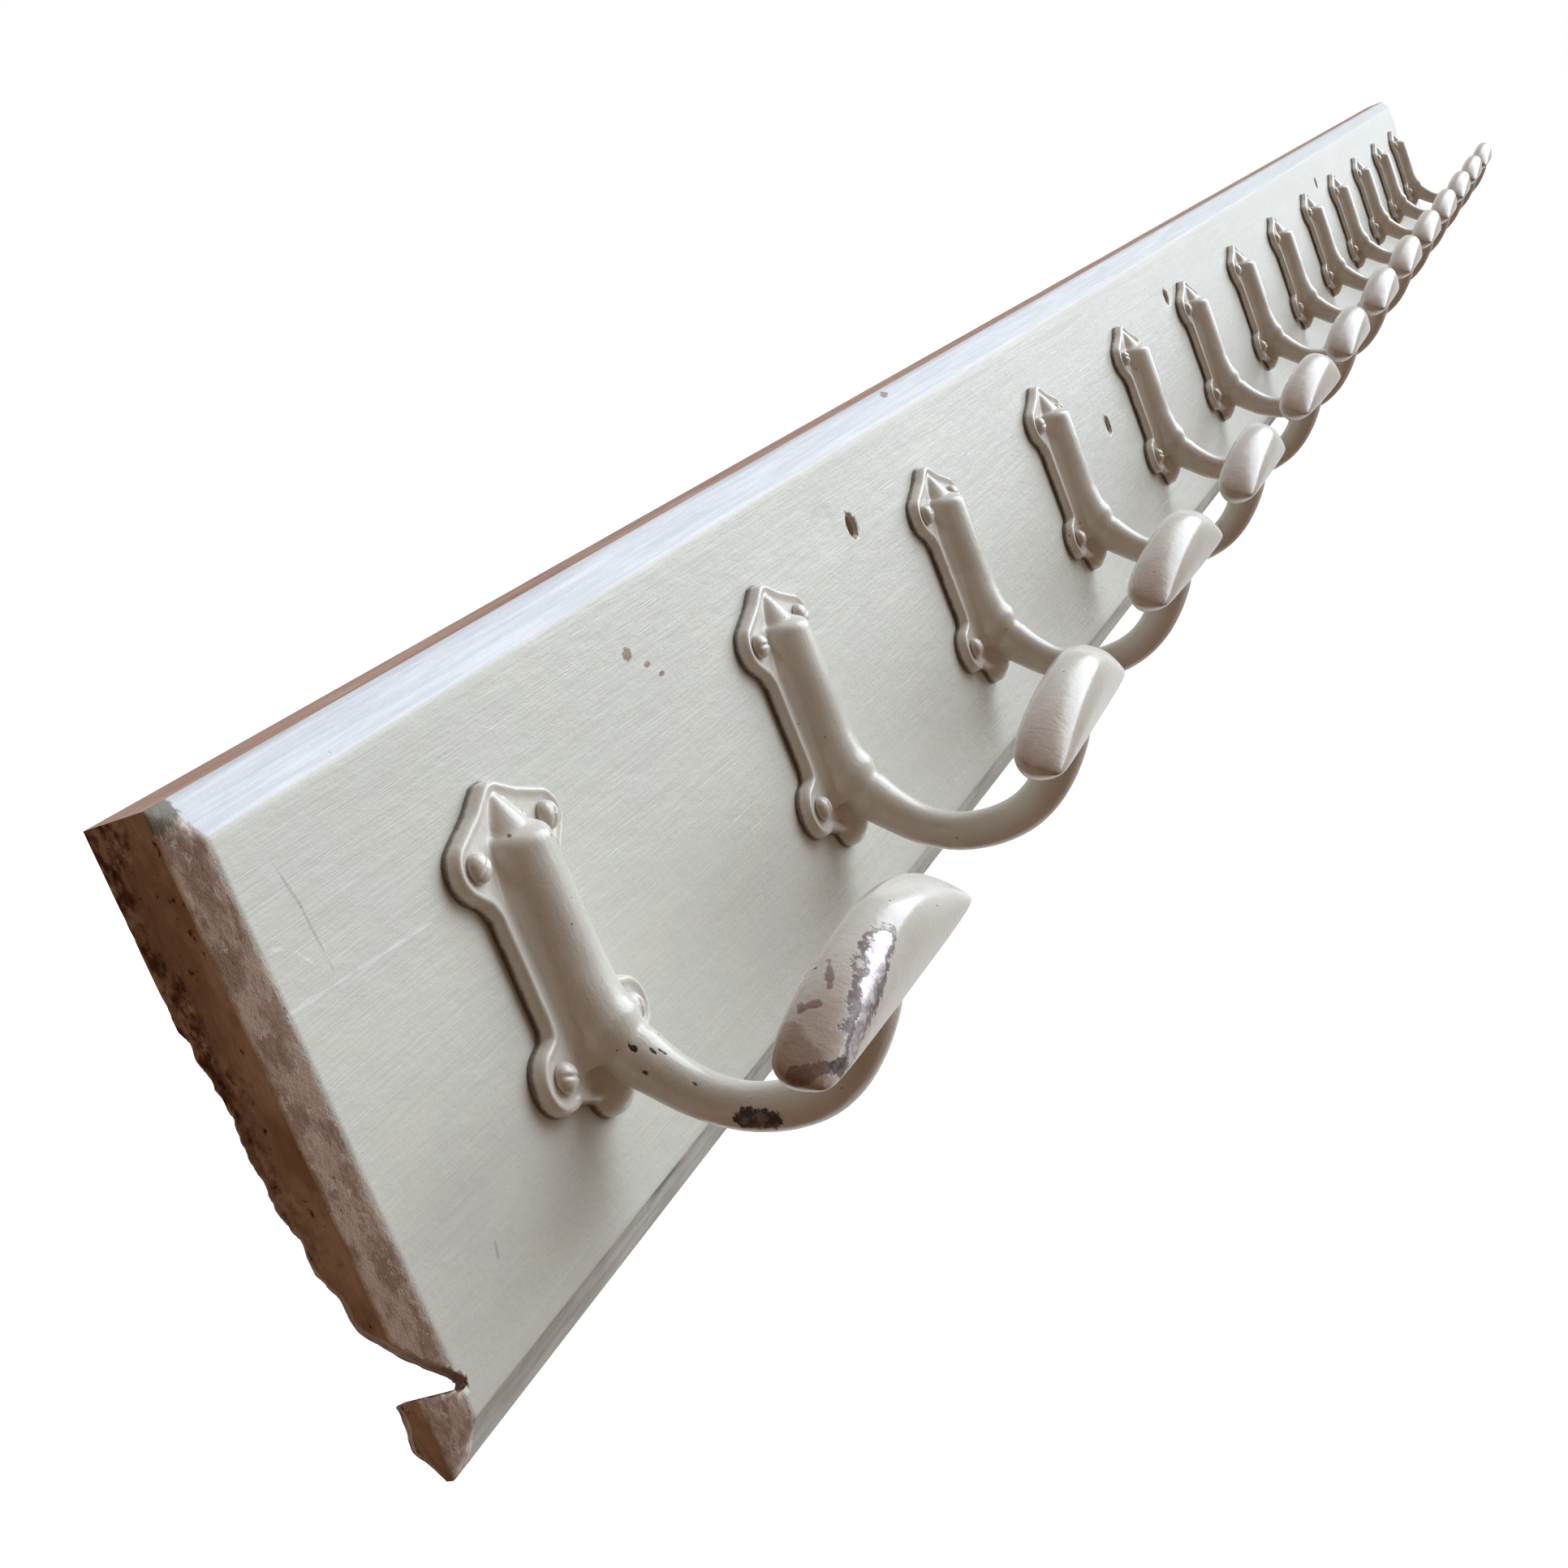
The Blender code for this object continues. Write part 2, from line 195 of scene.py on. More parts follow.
def catmull(points, steps):
    """A smooth curve through points of any length, with its ends kept."""
    points = np.array(points, float)
    padded = np.vstack([2 * points[0] - points[1], points, 2 * points[-1] - points[-2]])
    curve = []
    for i in range(len(points) - 1):
        a, b, c, d = padded[i:i + 4]
        for t in np.linspace(0, 1, steps, endpoint=False):
            curve.append(0.5 * (2 * b + (c - a) * t + (2 * a - 5 * b + 4 * c - d) * t ** 2
                                + (3 * b - a - 3 * c + d) * t ** 3))
    curve.append(points[-1])
    return np.array(curve)


# ---------------------------------------------------------------- the hook's shape
PLATE_OUT = 5.0 * MM
APEX_Z = 48.4 * MM
WAIST_HALF = 18.1 * MM
UPPER_LOBE_RADIUS = 8.6 * MM
LOWER_LOBE_RADIUS = 9.7 * MM
FOOT_Z = -38.0 * MM
FOOT_RADIUS = 9.4 * MM
PLATE_BACK = 0.3 * MM

ARM_PATH = [
    (4.2 * MM, 24.0 * MM, 9.8 * MM),
    (4.2 * MM, 8.0 * MM, 10.3 * MM),
    (4.6 * MM, -8.0 * MM, 10.5 * MM),
    (7.0 * MM, -20.0 * MM, 9.8 * MM),
    (12.0 * MM, -30.0 * MM, 8.5 * MM),
    (19.0 * MM, -38.7 * MM, 7.2 * MM),
    (27.5 * MM, -46.4 * MM, 6.6 * MM),
    (38.0 * MM, -51.6 * MM, 6.5 * MM),
    (50.0 * MM, -53.0 * MM, 6.5 * MM),
    (61.5 * MM, -51.1 * MM, 6.5 * MM),
    (71.0 * MM, -46.0 * MM, 6.6 * MM),
    (79.0 * MM, -38.0 * MM, 7.0 * MM),
    (84.5 * MM, -29.0 * MM, 7.9 * MM),
    (87.0 * MM, -23.0 * MM, 7.3 * MM),
]

# The collar and the waist round the arm's root: height, growth in radius and half length
ARM_ROOT_OUT = 30 * MM
ARM_ROOT_RINGS = [(-24.0 * MM, 0.9 * MM, 2.6 * MM), (-29.5 * MM, -0.8 * MM, 1.6 * MM)]

TIP_OUT = 87.4 * MM
TIP_RIM_Z = -22.7 * MM
TIP_LEAN = 32.5
TIP_HALF_WIDTH = 52.7 * MM
TIP_HALF_DEPTH = 10.0 * MM
TIP_CROWN = 20.5 * MM
TIP_KEEL = 11.6 * MM

# How old loads have bent some arms: hook index to sideways, outward and upward shift, and turn in degrees
ARM_BENDS = {
    0: (-1.0 * MM, -1.5 * MM, -1.5 * MM, -1.7),
    1: (-1.0 * MM, 1.2 * MM, 0.4 * MM, 1.7),
    2: (1.0 * MM, -0.7 * MM, 1.5 * MM, -2.3),
    4: (1.0 * MM, 1.5 * MM, 0.6 * MM, -2.9),
}
BEND_START_OUT = 24 * MM
BEND_END_OUT = 76 * MM

GRID_STEP = 0.6 * MM
VOXEL = 0.7 * MM


def plate_outline():
    """The back plate's outline in x and z."""
    right = [(0.0, APEX_Z), (2.4 * MM, APEX_Z - 0.4 * MM), (5.0 * MM, APEX_Z - 1.8 * MM),
             (10.5 * MM, APEX_Z - 5.0 * MM)]
    right += arc((UPPER_SCREW_X, UPPER_SCREW_Z), UPPER_LOBE_RADIUS, 74, -52, 14)
    right += [(WAIST_HALF + 1.6 * MM, 20.5 * MM), (WAIST_HALF + 0.2 * MM, 17 * MM), (WAIST_HALF, -13 * MM),
              (WAIST_HALF + 0.5 * MM, -16 * MM)]
    right += arc((LOWER_SCREW_X, LOWER_SCREW_Z), LOWER_LOBE_RADIUS, 84, -110, 14)
    right += arc((0.0, FOOT_Z), FOOT_RADIUS, -10, -90, 7)
    left = [(-x, z) for x, z in reversed(right[1:-1])]
    return np.array(right + left)


def inside_distance(x, z, outline):
    """How far each point lies inside a closed outline; negative outside."""
    nearest = np.full(x.shape, 1e9)
    inside = np.zeros(x.shape, bool)
    for (ax, az), (bx, bz) in zip(outline, np.roll(outline, -1, axis=0)):
        dx, dz = bx - ax, bz - az
        along = np.clip(((x - ax) * dx + (z - az) * dz) / (dx * dx + dz * dz + 1e-18), 0, 1)
        nearest = np.minimum(nearest, np.hypot(x - ax - along * dx, z - az - along * dz))
        crosses = (az > z) != (bz > z)
        if az != bz:
            inside ^= crosses & (x < ax + (z - az) * dx / dz)
    return np.where(inside, nearest, -nearest)


def smooth_max(a, b, blend):
    """The larger of two heights, with a rounded join."""
    h = np.clip(0.5 + 0.5 * (a - b) / blend, 0, 1)
    return b * (1 - h) + a * h + blend * h * (1 - h)


def half_round(share, power=0.5):
    """A rounded profile: 1 in the middle, 0 at a share of 1 and beyond."""
    return np.clip(1 - share ** 2, 0, 1) ** power


def plate_relief(depth):
    """The plate at a depth in from its outline: a rolled edge, a raised rim and a slightly sunken field."""
    top, roll = PLATE_OUT - 0.2 * MM, 1.5 * MM
    rim_in, rim_spread, rim_rise = 1.8 * MM, 0.8 * MM, 0.5 * MM
    field_in, field_ease, field_sink = 2.4 * MM, 0.9 * MM, 0.6 * MM
    edge = np.clip(depth / roll, 0, 1)
    height = top * (1 - (1 - edge) ** 2.4) ** 0.42
    height += rim_rise * np.exp(-((depth - rim_in) / rim_spread) ** 2)
    height -= field_sink * np.clip((depth - field_in) / field_ease, 0, 1)
    return height


def nose_relief(x, z):
    """The pointed nose: a rounded half cone lying on the plate, its point at the top."""
    point_z, root_z, length, root_radius = 45.5 * MM, 20 * MM, 13 * MM, 8.8 * MM
    radius = root_radius * np.clip((point_z - z) / length, 0, 1) ** 0.8 + 1e-9
    height = PLATE_OUT - 1.4 * MM + 0.86 * radius * half_round(x / radius, 0.62)
    return np.where((z > root_z) & (np.abs(x) < radius), height, 0)


def rib_relief(x, z):
    """The rib: round with hollow flanks, its upper end rounded off as a knuckle over the nose."""
    top_z, bottom_z, shoulder_length = 35.0 * MM, -30 * MM, 5.0 * MM
    core_half, core_rise, flank_rise = 10.2 * MM, 11.2 * MM, 8.6 * MM
    end = np.clip((top_z - z) / shoulder_length, 0, 1)
    shoulder = np.sqrt(1 - (1 - end) ** 2)
    spread = (10.5 + 3.4 * np.clip((31 * MM - z) / (12 * MM), 0, 1)) * MM
    flank = flank_rise * half_round(x / spread, 1.2)
    core = core_rise * half_round(x / (core_half * (0.6 + 0.4 * shoulder)), 0.5)
    height = PLATE_OUT - 1.2 * MM + shoulder * np.maximum(flank, core)
    return np.where((end > 0) & (np.abs(x) < spread) & (z > bottom_z), height, 0)


def foot_relief(x, z):
    """The foot: a round boss under the arm, drawn out upward."""
    half_width, reach_up, rise = 9.6 * MM, 17 * MM, 9.2 * MM
    reach = np.where(z < FOOT_Z, FOOT_RADIUS, reach_up)
    return rise * half_round(np.hypot(x / half_width, (z - FOOT_Z) / reach), 0.55)


def plate_height(x, z):
    """How far the plate, nose, rib and foot stand out of the board at x, z."""
    depth = inside_distance(x, z, plate_outline())
    body = smooth_max(nose_relief(x, z), rib_relief(x, z), 0.2 * MM)
    body = smooth_max(body, foot_relief(x, z), 2.0 * MM)
    inner = np.clip((depth - 0.7 * MM) / (1.8 * MM), 0, 1) ** 0.7
    height = smooth_max(plate_relief(depth), body * inner, 0.7 * MM)
    return np.where(depth > 0, height, -2 * MM)


def relief_mesh(name):
    """The plate, nose, rib and foot as a closed relief standing on the board."""
    half_width, bottom, top = 34 * MM, -50 * MM, 52 * MM
    xs = np.arange(-half_width, half_width, GRID_STEP)
    zs = np.arange(bottom, top, GRID_STEP)
    grid_x, grid_z = np.meshgrid(xs, zs)
    height = plate_height(grid_x, grid_z)
    front = np.stack([grid_x, -height, grid_z], -1).reshape(-1, 3)
    back = front.copy()
    back[:, 1] = 4 * MM
    return mesh_from(name, np.vstack([front, back]), slab_faces(len(zs), len(xs)))


def arm_mesh(name, sides=28):
    """The J-shaped arm: a round sweep along its path, closed at both ends."""
    path = catmull(ARM_PATH, 14)
    verts = []
    for i, (out, z, radius) in enumerate(path):
        ahead = path[min(i + 1, len(path) - 1)] - path[max(i - 1, 0)]
        run = math.hypot(ahead[0], ahead[1])
        side_out, side_z = -ahead[1] / run, ahead[0] / run
        if out < ARM_ROOT_OUT:
            for ring_z, growth, length in ARM_ROOT_RINGS:
                radius += growth * math.exp(-((z - ring_z) / length) ** 2)
        for j in range(sides):
            turn = 2 * math.pi * j / sides
            lift = radius * math.cos(turn)
            verts.append((radius * math.sin(turn), -(out + side_out * lift), z + side_z * lift))
    return mesh_from(name, verts, tube_faces(len(path), sides))


def tip_section(share, count=15):
    """The tip's cross-section at a share of its half width: (depth, height) points all the way round."""
    front_square, back_square = 12, 2.8
    top_fullness, keel_fullness = 0.77, 1.25
    front = TIP_HALF_DEPTH * (1 - abs(share) ** front_square) ** (1 / front_square)
    back = TIP_HALF_DEPTH * (1 - abs(share) ** back_square) ** (1 / back_square)
    crown = TIP_CROWN * (1 - abs(share) ** 1.5) ** 0.79
    keel = TIP_KEEL * math.sqrt(1 - abs(share) ** 3)
    points = []
    for angle in np.linspace(math.pi, 0, 2 * count):
        along, up = math.cos(angle), abs(math.sin(angle))
        reach = (front if along < 0 else back) * abs(along) ** top_fullness
        points.append((math.copysign(reach, along), crown * up ** top_fullness))
    for angle in np.linspace(0, math.pi, 2 * count)[1:-1]:
        along, up = math.cos(angle), math.sin(angle)
        reach = (front if along < 0 else back) * abs(along) ** keel_fullness
        points.append((math.copysign(reach, along), -keel * up ** keel_fullness))
    return points


def tip_mesh(name, stations=64):
    """The half-moon tip, lofted through its cross-sections and leaning out from the wall."""
    lean = Matrix.Rotation(math.radians(TIP_LEAN), 4, "X")
    place = Matrix.Translation((0, -TIP_OUT, TIP_RIM_Z)) @ lean
    verts = []
    for i in range(1, stations):
        share = -math.cos(math.pi * i / stations)
        verts += [place @ Vector((share * TIP_HALF_WIDTH, y, z)) for y, z in tip_section(share)]
    rings = stations - 1
    return mesh_from(name, verts, tube_faces(rings, len(verts) // rings))


def bent(casting, bend):
    """A copy of the casting whose arm eases into a shift and a turn of the tip."""
    sideways, outward, upward, turn = bend
    copy = casting.copy()
    pivot = Vector((0.0, -TIP_OUT, 0.0))
    for vert in copy.vertices:
        share = min(1.0, max(0.0, (-vert.co.y - BEND_START_OUT) / (BEND_END_OUT - BEND_START_OUT)))
        share = share * share * (3 - 2 * share)
        twist = Matrix.Rotation(math.radians(turn) * share, 3, "Z")
        vert.co = pivot + twist @ (vert.co - pivot) + share * Vector((sideways, -outward, upward))
    return copy


def casting_mesh():
    """One hook: its relief, arm and tip fused and softened like a sand casting."""
    joined = bmesh.new()
    for part in (relief_mesh("relief"), arm_mesh("arm"), tip_mesh("tip")):
        joined.from_mesh(part)
        bpy.data.meshes.remove(part)
    mesh = bpy.data.meshes.new("casting")
    joined.to_mesh(mesh)
    joined.free()
    piece = add_object("casting", mesh)
    fuse = piece.modifiers.new("fuse", "REMESH")
    fuse.mode = "VOXEL"
    fuse.voxel_size = VOXEL
    soften = piece.modifiers.new("soften", "SMOOTH")
    soften.factor = 0.5
    soften.iterations = 2
    thin = piece.modifiers.new("thin", "DECIMATE")
    thin.ratio = 0.25
    mesh = baked(piece)

    shape = bmesh.new()
    shape.from_mesh(mesh)
    parts = shape.verts[:] + shape.edges[:] + shape.faces[:]
    bmesh.ops.bisect_plane(shape, geom=parts, plane_co=(0, -PLATE_BACK, 0), plane_no=(0, 1, 0),
                           clear_outer=True)
    bmesh.ops.holes_fill(shape, edges=[edge for edge in shape.edges if edge.is_boundary])
    bmesh.ops.recalc_face_normals(shape, faces=shape.faces)
    shape.to_mesh(mesh)
    shape.free()
    smooth(mesh)
    return mesh


def head_mesh():
    """A painted round-head screw along Y, its seat at the origin, with its shank."""
    around, head_radius, head_height = 32, 4.15 * MM, 2.95 * MM
    slot_half, slot_depth = 0.55 * MM, 0.55 * MM
    shank_radius, shank_length, plain_neck, thread = 1.75 * MM, 18.5 * MM, 1.5 * MM, 0.25 * MM
    dome = np.linspace(0.02, math.pi / 2, 11)
    profile = [(head_radius * math.sin(angle), -head_height * math.cos(angle)) for angle in dome]
    profile += [(head_radius * 0.98, 0.25 * MM), (shank_radius, 0.28 * MM)]
    turns = 9
    for i in range(turns * 2 + 1):
        share = i / (turns * 2)
        taper = 1 if share < 0.75 else 1 - 0.85 * (share - 0.75) / 0.25
        ridge = thread if i % 2 else 0
        profile.append(((shank_radius + ridge) * taper, plain_neck + share * (shank_length - plain_neck)))
    verts = []
    for radius, y in profile:
        for j in range(around):
            turn = 2 * math.pi * j / around
            x, z = radius * math.cos(turn), radius * math.sin(turn)
            sink = slot_depth * math.exp(-(x / slot_half) ** 4) if y < -0.3 * MM else 0
            verts.append((x, y + sink, z))
    return mesh_from("screw", verts, tube_faces(len(profile), around))


# ---------------------------------------------------------------- the board's shape
def spaced(start, end, step):
    """Evenly spaced values from start up to, not including, end."""
    count = max(1, round((end - start) / step))
    return list(start + (end - start) * np.arange(count) / count)


def face_out(x, z):
    """The painted face's Y at x, z: flat, chamfered all round, a little uneven."""
    side = CHAMFER_DEPTH * (abs(z) - ARRIS_Z) / CHAMFER_WIDTH_LONG
    from_end = min(x - LEFT_END, RIGHT_END - x)
    end = CHAMFER_DEPTH * (1 - from_end / CHAMFER_WIDTH_END)
    drop = float(smooth_max(smooth_max(np.float64(side), np.float64(0), 0.9 * MM), np.float64(end), 0.9 * MM))
    wave = 0.12 * MM * (1 + noise.noise(Vector((x * 6, 0, z * 45)))) / 2
    grain = 0.05 * MM * (1 + noise.noise(Vector((x * 30, 0, z * 900)))) / 2
    patch = math.hypot(x - FILLER_PATCH.x, z - FILLER_PATCH.z) / FILLER_RADIUS
    dish = 0.35 * MM * math.exp(-patch ** 4) + 0.18 * MM * math.exp(-((patch - 1.0) / 0.16) ** 2)
    return FACE_Y + max(drop, 0) + wave + grain + dish


def board_mesh():
    """The plank as stacked cross-sections, fine at the near end."""
    stations = spaced(LEFT_END, LEFT_END + 12 * MM, 0.7 * MM)
    stations += spaced(LEFT_END + 12 * MM, LEFT_END + 500 * MM, 3 * MM)
    stations += spaced(LEFT_END + 500 * MM, RIGHT_END - 12 * MM, 7 * MM)
    stations += spaced(RIGHT_END - 12 * MM, RIGHT_END, 1 * MM) + [RIGHT_END]
    stops = [-HALF_HEIGHT, -ARRIS_Z - MM, -ARRIS_Z + MM, ARRIS_Z - MM, ARRIS_Z + MM, HALF_HEIGHT]
    heights = []
    for start, end, step in zip(stops, stops[1:], (1.6, 0.4, 2.2, 0.4, 1.6)):
        heights += spaced(start, end, step * MM)
    heights.append(HALF_HEIGHT)
    back_heights = np.linspace(HALF_HEIGHT, -HALF_HEIGHT, 24)[1:-1]
    steps = 6
    verts = []
    for x in stations:
        ring = [(x, face_out(x, z), z) for z in heights]
        low_y, high_y = ring[0][1], ring[-1][1]
        ring += [(x, high_y + (BACK_Y - high_y) * i / steps, HALF_HEIGHT) for i in range(1, steps + 1)]
        ring += [(x, BACK_Y, z) for z in back_heights]
        ring += [(x, BACK_Y + (low_y - BACK_Y) * i / steps, -HALF_HEIGHT) for i in range(steps)]
        verts += ring
    return mesh_from("board", verts, tube_faces(len(stations), len(verts) // len(stations)))


def break_depth(z):
    """How deep the near end's sound wood reaches behind the face's plane at height z."""
    rough = 1.9 * noise.noise(Vector((z * 130, 3.1, 0))) + 1.0 * noise.noise(Vector((z * 420, 7.7, 0)))
    return float(np.interp(z / MM, *zip(*BREAK_KNOTS)) + rough) * MM


def broken_corner():
    """A rough-faced cutter for the near end's broken back corner and notch."""
    xs = spaced(LEFT_END - 4 * MM, LEFT_END + 44 * MM, 1.3 * MM)
    zs = spaced(-88 * MM, 88 * MM, 1.1 * MM)
    front, back = [], []
    for z in zs:
        for x in xs:
            inward = x - LEFT_END
            depth = break_depth(z + NOTCH_FALL * inward)
            fade_in = min(1, max(0, inward / (3 * MM)))
            rough = 0.9 * MM * noise.noise(Vector((x * 220, 0, z * 220))) * fade_in
            front.append((x, FACE_Y + depth + BREAK_SLOPE * inward + rough, z))
            back.append((x, BACK_Y + 60 * MM, z))
    return mesh_from("broken_corner", front + back, slab_faces(len(zs), len(xs)))


def ragged_hole(x, z, seed):
    """A cutter for an old fixing hole with a chipped mouth."""
    around = 28
    rings = [(FACE_Y - 2 * MM, 1.35), (FACE_Y + 0.3 * MM, 1.22), (FACE_Y + 1.4 * MM, 1.0),
             (BACK_Y + 2 * MM, 0.96)]
    verts = []
    for y, grow in rings:
        for j in range(around):
            turn = 2 * math.pi * j / around
            uneven = noise.noise(Vector((2 * math.cos(turn), 2 * math.sin(turn), seed)))
            radius = FIXING_HOLE_RADIUS * grow
            radius *= 1 + 0.16 * (grow - 0.9) / 0.45 * uneven
            verts.append((x + radius * math.cos(turn), y, z + 1.12 * radius * math.sin(turn)))
    return mesh_from("ragged_hole", verts, tube_faces(len(rings), around))


def make_board(paint, bare, end_grain):
    """The board piece, cut, with its faces given their materials."""
    board = add_object("board_visual", board_mesh(), paint, bare, end_grain)
    cutters = [add_object("broken_corner", broken_corner())]
    for seed, (x, z) in enumerate(FIXING_HOLES):
        cutters.append(add_object(f"fixing_{seed}", ragged_hole(FIRST_HOOK + x, z, seed * 3.7)))
    for cutter in cutters:
        step = board.modifiers.new(cutter.name, "BOOLEAN")
        step.operation = "DIFFERENCE"
        step.solver = "EXACT"
        step.object = cutter
    mesh = baked(board)
    for cutter in cutters:
        bpy.data.objects.remove(cutter)
    mesh.materials.clear()
    board = add_object("board_visual", mesh, paint, bare, end_grain)
    front_limit = FACE_Y + CHAMFER_DEPTH + 0.4 * MM
    for face in mesh.polygons:
        place, normal = face.center, face.normal
        on_front = place.y < front_limit and normal.y < -0.35
        in_break = place.x < LEFT_END + 40 * MM and place.y < BACK_Y - 0.2 * MM and normal.y > 0.1
        on_end = in_break or abs(normal.x) > 0.55
        face.material_index = 0 if on_front else (2 if on_end else 1)
        face.use_smooth = on_front
    return board


# ---------------------------------------------------------------- material helpers
class Nodes:
    """A short way to write node trees."""

    def __init__(self, tree, space):
        self.tree = tree
        self.place = self.add("ShaderNodeTexCoord").outputs[space]

    def add(self, kind, **settings):
        node = self.tree.nodes.new(kind)
        for key, value in settings.items():
            setattr(node, key, value)
        return node

    def link(self, source, target):
        self.tree.links.new(source, target)

    def scaled(self, scale, offset=(0, 0, 0)):
        """The coordinates times a scale."""
        node = self.add("ShaderNodeMapping")
        node.inputs["Scale"].default_value = scale
        node.inputs["Location"].default_value = offset
        self.link(self.place, node.inputs["Vector"])
        return node.outputs["Vector"]

    def noise(self, scale, detail=4.0, roughness=0.55, offset=(0, 0, 0)):
        """Fractal noise in 0..1 over the coordinates."""
        node = self.add("ShaderNodeTexNoise")
        node.inputs["Scale"].default_value = 1.0
        node.inputs["Detail"].default_value = detail
        node.inputs["Roughness"].default_value = roughness
        self.link(self.scaled(scale, offset), node.inputs["Vector"])
        return node.outputs["Fac"]

    def remap(self, value, low, high, to_low=0.0, to_high=1.0):
        """A smooth step from one range to another."""
        node = self.add("ShaderNodeMapRange", interpolation_type="SMOOTHSTEP")
        for name, number in (("From Min", low), ("From Max", high), ("To Min", to_low), ("To Max", to_high)):
            node.inputs[name].default_value = number
        self.link(value, node.inputs["Value"])
        return node.outputs["Result"]

    def math(self, operation, a, b=None):
        """A math node on sockets or numbers."""
        node = self.add("ShaderNodeMath", operation=operation)
        for slot, value in zip(node.inputs, (a, b)):
            if value is None:
                continue
            if isinstance(value, (int, float)):
                slot.default_value = value
            else:
                self.link(value, slot)
        return node.outputs["Value"]

    def sway(self, value, wobble, amount):
        """A value pushed up and down by a wobble in 0..1."""
        return self.math("ADD", value, self.math("MULTIPLY", self.math("SUBTRACT", wobble, 0.5), amount))

    def mix(self, factor, a, b):
        """A colour mix; a and b are colours or sockets."""
        node = self.add("ShaderNodeMix", data_type="RGBA")
        self.link(factor, node.inputs["Factor"])
        for slot, value in ((node.inputs[6], a), (node.inputs[7], b)):
            if isinstance(value, tuple):
                slot.default_value = (*value, 1.0)
            else:
                self.link(value, slot)
        return node.outputs[2]

    def axes(self):
        """The coordinates as three sockets."""
        node = self.add("ShaderNodeSeparateXYZ")
        self.link(self.place, node.inputs["Vector"])
        return node.outputs

    def spot(self, centre, size, wobble, soft=0.15):
        """A mask of 1 inside an uneven blob round a point; size is a radius per axis."""
        shifted = self.add("ShaderNodeVectorMath", operation="SUBTRACT")
        self.link(self.place, shifted.inputs[0])
        shifted.inputs[1].default_value = tuple(centre)
        shrunk = self.add("ShaderNodeVectorMath", operation="DIVIDE")
        self.link(shifted.outputs["Vector"], shrunk.inputs[0])
        shrunk.inputs[1].default_value = tuple(size)
        length = self.add("ShaderNodeVectorMath", operation="LENGTH")
        self.link(shrunk.outputs["Vector"], length.inputs[0])
        uneven = self.sway(length.outputs["Value"], wobble, 1.6)
        return self.remap(uneven, 1.0 + soft, 1.0 - soft)

    def streak(self, start, end, radius, wobble, rough=1.0, soft=0.2):
        """A mask of 1 along an uneven stroke between two points."""
        run = Vector(end) - Vector(start)
        from_start = self.add("ShaderNodeVectorMath", operation="SUBTRACT")
        self.link(self.place, from_start.inputs[0])
        from_start.inputs[1].default_value = tuple(start)
        along = self.add("ShaderNodeVectorMath", operation="DOT_PRODUCT")
        self.link(from_start.outputs["Vector"], along.inputs[0])
        along.inputs[1].default_value = tuple(run)
        share = self.add("ShaderNodeClamp")
        self.link(self.math("DIVIDE", along.outputs["Value"], run.length_squared), share.inputs["Value"])
        nearest = self.add("ShaderNodeVectorMath", operation="SCALE")
        nearest.inputs[0].default_value = tuple(run)
        self.link(share.outputs["Result"], nearest.inputs["Scale"])
        aside = self.add("ShaderNodeVectorMath", operation="DISTANCE")
        self.link(from_start.outputs["Vector"], aside.inputs[0])
        self.link(nearest.outputs["Vector"], aside.inputs[1])
        reach = self.math("DIVIDE", aside.outputs["Value"], radius)
        uneven = self.sway(reach, wobble, 3.0 * rough)
        return self.remap(uneven, 1.0 + soft, 1.0 - soft)


class Paint(Nodes):
    """The nodes of a new material, over object coordinates."""

    def __init__(self, name):
        self.material = bpy.data.materials.new(name)
        self.material.use_nodes = True
        super().__init__(self.material.node_tree, "Object")
        self.shader = self.tree.nodes["Principled BSDF"]

    def finish(self, colour, roughness, bump=None, strength=0.3, distance=0.0002, **constants):
        """Links the colour, roughness and bump to the shader."""
        self.link(colour, self.shader.inputs["Base Color"])
        self.link(roughness, self.shader.inputs["Roughness"])
        if bump is not None:
            node = self.add("ShaderNodeBump")
            node.inputs["Strength"].default_value = strength
            node.inputs["Distance"].default_value = distance
            self.link(bump, node.inputs["Height"])
            self.link(node.outputs["Normal"], self.shader.inputs["Normal"])
        for name, value in constants.items():
            self.shader.inputs[name.replace("_", " ")].default_value = value
        return self.material


# Marks on the face, in millimetres, with x from the first hook.  Chips: x, z, half width and half height.
CHIPS = [(103, 53, 2.6, 2.0), (112, 47, 2.2, 0.8), (118, 42, 1.8, 0.7), (391, 80.5, 4.2, 1.5)]
# Scratches: whether pale, and their points in x and z
SCRATCHES = [
    (True, [(-87, 44), (-81, 41), (-77, 36)]),
    (False, [(-76, 62), (-73, 48), (-72, 32)]),
    (True, [(-91, 30), (-32, 26)]),
    (False, [(-60, -46), (-61, -49)]),
]


